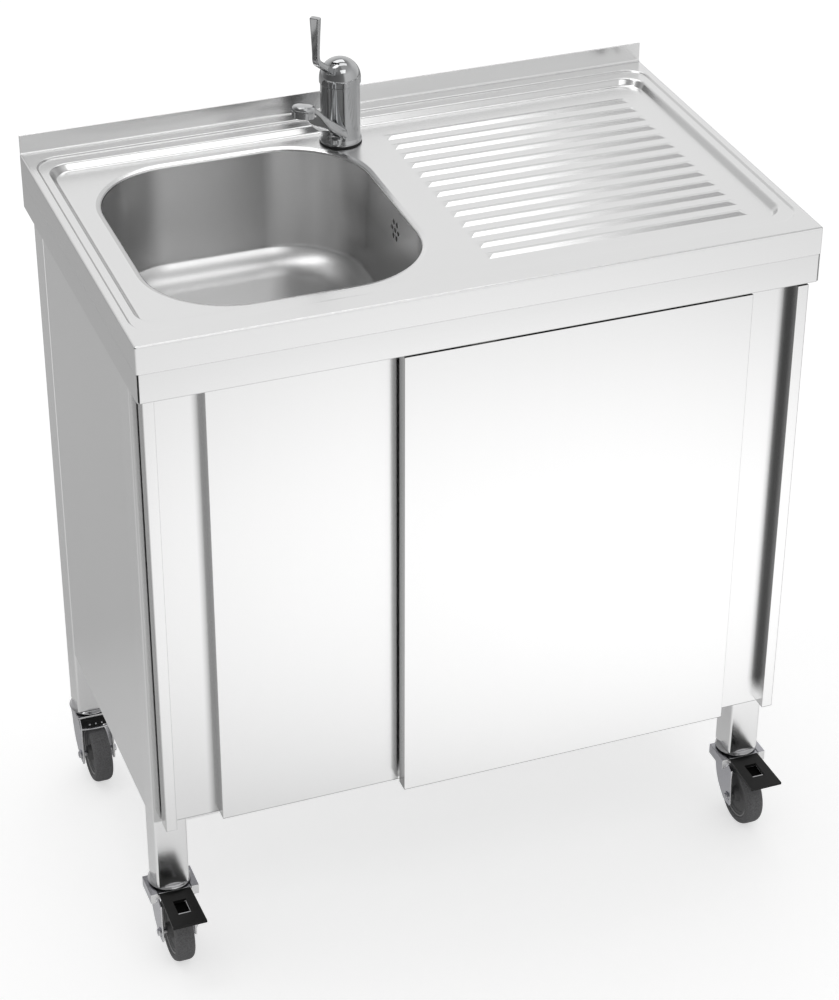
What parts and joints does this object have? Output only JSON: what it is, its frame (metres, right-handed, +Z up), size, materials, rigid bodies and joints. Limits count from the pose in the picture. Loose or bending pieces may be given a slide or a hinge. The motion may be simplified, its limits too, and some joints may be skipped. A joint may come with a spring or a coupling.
{
  "type": "portable sink",
  "caption": "Stainless sink unit on casters with foot brakes: a bowl and ribbed drainer with a lever tap, over a cabinet with sliding doors.",
  "frame": {"origin": "on the floor, under the middle of the object's box", "axes": "+Z up, -Y towards the sliding doors, +X to the right of someone facing them"},
  "size_m": [0.8164, 0.522, 1.0351],
  "materials": {
    "worktop_steel": "satin stainless sheet with a faint linear grain",
    "panel_steel": "satin stainless sheet, smooth and pale",
    "bowl_steel": "satin drawn stainless, darker inside the bowl",
    "chrome": "bright polished chrome",
    "zinc": "bright zinc plate with a cool tint",
    "black_plastic": "black moulded plastic with a low sheen",
    "grey_tyre": "dark grey rubber tyre, matt",
    "grey_hub": "dark grey moulded wheel centre",
    "black_rubber": "black rubber",
    "brass": "plain brass",
    "white_plastic": "white moulded plastic"
  },
  "bodies": {
    "frame": {"worktop": "worktop_steel", "sink_bowl": "bowl_steel", "overflow_housing": "white_plastic", "front_apron": "panel_steel", "rear_apron": "panel_steel", "left_apron": "panel_steel", "right_apron": "panel_steel", "side_panel_left": "panel_steel", "side_panel_right": "panel_steel", "back_panel": "panel_steel", "cabinet_floor": "panel_steel", "door_track": "panel_steel", "door_guide": "white_plastic", "tap_body": "chrome", "tap_aerator": "chrome", "tap_gasket": "black_rubber", "tap_lock_nut": "brass", "tap_cartridge": "white_plastic", "tap_plug": "chrome", "waste_strainer": "worktop_steel", "waste_body": "white_plastic", "waste_nut": "white_plastic", "bottle_trap": "white_plastic", "leg_front_left": "panel_steel", "caster_front_left_stem": "zinc", "leg_front_right": "panel_steel", "caster_front_right_stem": "zinc", "leg_rear_left": "panel_steel", "caster_rear_left_stem": "zinc", "leg_rear_right": "panel_steel", "caster_rear_right_stem": "zinc"},
    "door_left": {"door_left": "panel_steel", "door_left_hanger_inner": "white_plastic", "door_left_hanger_outer": "white_plastic"},
    "door_right": {"door_right": "panel_steel", "door_right_hanger_inner": "white_plastic", "door_right_hanger_outer": "white_plastic"},
    "tap_cap": {"tap_cap": "chrome"},
    "tap_lever": {"tap_lever": "chrome"},
    "brake_pedal_left": {"brake_pedal_left": "black_plastic"},
    "brake_pedal_right": {"brake_pedal_right": "black_plastic"},
    "fork_front_left": {"caster_front_left_fork": "zinc", "caster_front_left_axle": "zinc"},
    "wheel_front_left": {"caster_front_left_hub": "grey_hub", "caster_front_left_tyre": "grey_tyre"},
    "fork_front_right": {"caster_front_right_fork": "zinc", "caster_front_right_axle": "zinc"},
    "wheel_front_right": {"caster_front_right_hub": "grey_hub", "caster_front_right_tyre": "grey_tyre"},
    "fork_rear_left": {"caster_rear_left_fork": "zinc", "caster_rear_left_axle": "zinc"},
    "wheel_rear_left": {"caster_rear_left_hub": "grey_hub", "caster_rear_left_tyre": "grey_tyre"},
    "fork_rear_right": {"caster_rear_right_fork": "zinc", "caster_rear_right_axle": "zinc"},
    "wheel_rear_right": {"caster_rear_right_hub": "grey_hub", "caster_rear_right_tyre": "grey_tyre"}
  },
  "joints": [
    {"name": "door_left_slide", "type": "slide", "parent": "frame", "child": "door_left", "axis": [1, 0, 0], "range_m": [0, 0.289]},
    {"name": "door_right_slide", "type": "slide", "parent": "frame", "child": "door_right", "axis": [-1, 0, 0], "range_m": [0, 0.289]},
    {"name": "tap_turn", "type": "hinge", "parent": "frame", "child": "tap_cap", "pos_m": [-0.02503, 0.18607, 0.9325], "axis": [0, 0, 1], "range_deg": [-45, 45]},
    {"name": "tap_lift", "type": "hinge", "parent": "tap_cap", "child": "tap_lever", "pos_m": [-0.02503, 0.18607, 0.9377], "axis": [-0.7071, 0.7071, 0], "range_deg": [0, 20]},
    {"name": "swivel_front_left", "type": "hinge", "parent": "frame", "child": "fork_front_left", "pos_m": [-0.3782, -0.1724, 0.0966], "axis": [0, 0, 1], "continuous": true},
    {"name": "roll_front_left", "type": "hinge", "parent": "fork_front_left", "child": "wheel_front_left", "pos_m": [-0.3782, -0.1994, 0.04], "axis": [1, 0, 0], "continuous": true},
    {"name": "swivel_front_right", "type": "hinge", "parent": "frame", "child": "fork_front_right", "pos_m": [0.3782, -0.1724, 0.0966], "axis": [0, 0, 1], "continuous": true},
    {"name": "roll_front_right", "type": "hinge", "parent": "fork_front_right", "child": "wheel_front_right", "pos_m": [0.3782, -0.1994, 0.04], "axis": [1, 0, 0], "continuous": true},
    {"name": "swivel_rear_left", "type": "hinge", "parent": "frame", "child": "fork_rear_left", "pos_m": [-0.3782, 0.2002, 0.0966], "axis": [0, 0, 1], "continuous": true},
    {"name": "roll_rear_left", "type": "hinge", "parent": "fork_rear_left", "child": "wheel_rear_left", "pos_m": [-0.3782, 0.1732, 0.04], "axis": [1, 0, 0], "continuous": true},
    {"name": "swivel_rear_right", "type": "hinge", "parent": "frame", "child": "fork_rear_right", "pos_m": [0.3782, 0.2002, 0.0966], "axis": [0, 0, 1], "continuous": true},
    {"name": "roll_rear_right", "type": "hinge", "parent": "fork_rear_right", "child": "wheel_rear_right", "pos_m": [0.3782, 0.1732, 0.04], "axis": [1, 0, 0], "continuous": true},
    {"name": "brake_left", "type": "hinge", "parent": "fork_front_left", "child": "brake_pedal_left", "pos_m": [-0.3782, -0.1889, 0.0885], "axis": [1, 0, 0], "range_deg": [0, 9]},
    {"name": "brake_right", "type": "hinge", "parent": "fork_front_right", "child": "brake_pedal_right", "pos_m": [0.3782, -0.1889, 0.0885], "axis": [1, 0, 0], "range_deg": [0, 9]}
  ]
}
